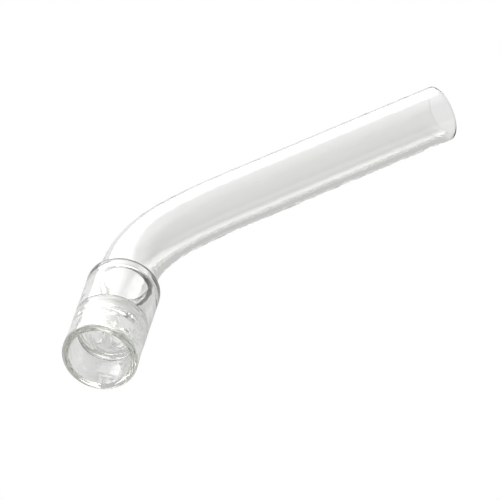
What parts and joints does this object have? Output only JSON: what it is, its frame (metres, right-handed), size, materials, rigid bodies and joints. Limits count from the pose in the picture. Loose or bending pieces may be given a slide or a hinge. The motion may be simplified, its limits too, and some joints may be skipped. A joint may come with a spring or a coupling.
{
  "type": "bent glass mouthpiece tube",
  "caption": "Bent clear glass tube with a wide, thick-lipped bowl at one end, a perforated glass screen fused inside the bowl, and an open fire-polished tip.",
  "frame": {"origin": "centre of the bowl's mouth, in the plane of the lip's crown", "axes": "+Y along the bowl's axis from the mouth into the tube, +X towards the side that the stem bends to, +Z square to the plane of the bend"},
  "size_m": [0.0776, 0.1135, 0.0184],
  "materials": {
    "clear_glass": "clear, flame polished",
    "screen_glass": "clear, slightly rippled"
  },
  "bodies": {
    "root": {"bowl": "clear_glass", "screen": "screen_glass", "neck": "clear_glass", "stem": "clear_glass"}
  },
  "joints": []
}
